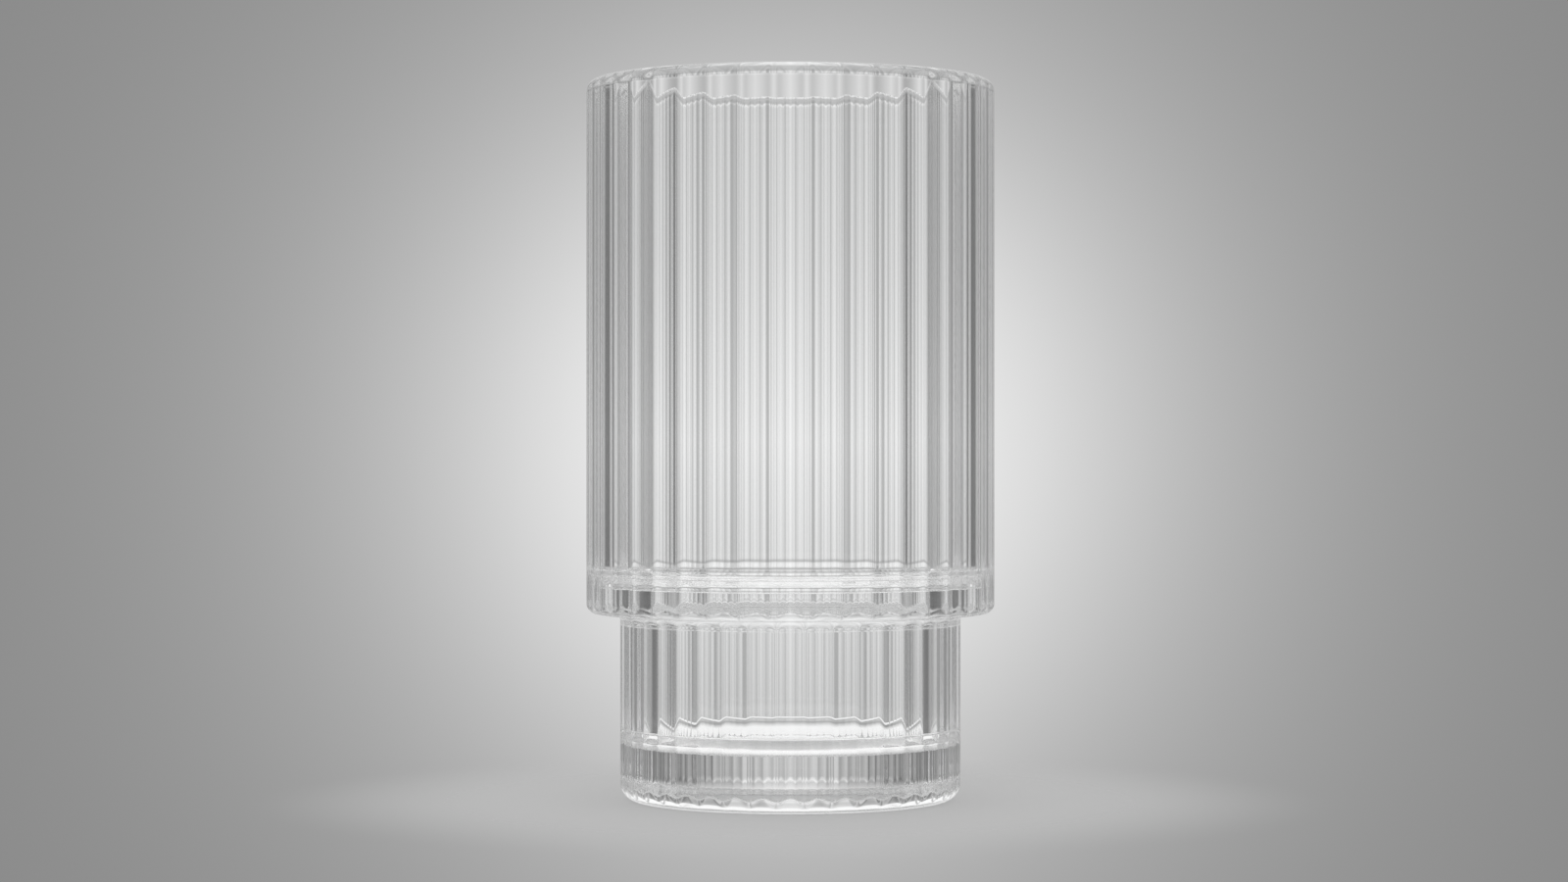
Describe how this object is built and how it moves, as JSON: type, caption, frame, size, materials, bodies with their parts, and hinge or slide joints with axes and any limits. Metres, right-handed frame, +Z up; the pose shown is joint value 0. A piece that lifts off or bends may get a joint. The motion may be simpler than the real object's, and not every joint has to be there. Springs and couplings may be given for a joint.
{
  "type": "ribbed drinking glass",
  "caption": "Tall stackable glass tumbler with fine vertical ribs: a wide upper body steps in over a shoulder to a narrower lower body on a thick solid base.",
  "frame": {"origin": "centre of the flat foot, on the surface the glass stands on", "axes": "+Z up along the glass's own axis, towards the lip; a rib's crest faces -Y, and so do ribs at every ninth degree from it"},
  "size_m": [0.082, 0.082, 0.1442],
  "materials": {
    "glass": "clear colourless pressed glass, fire polished, smooth and glossy inside and out, with a matt standing face"
  },
  "bodies": {
    "root": {"rim": "glass", "upper_wall": "glass", "shoulder": "glass", "lower_wall": "glass", "base": "glass"}
  },
  "joints": []
}
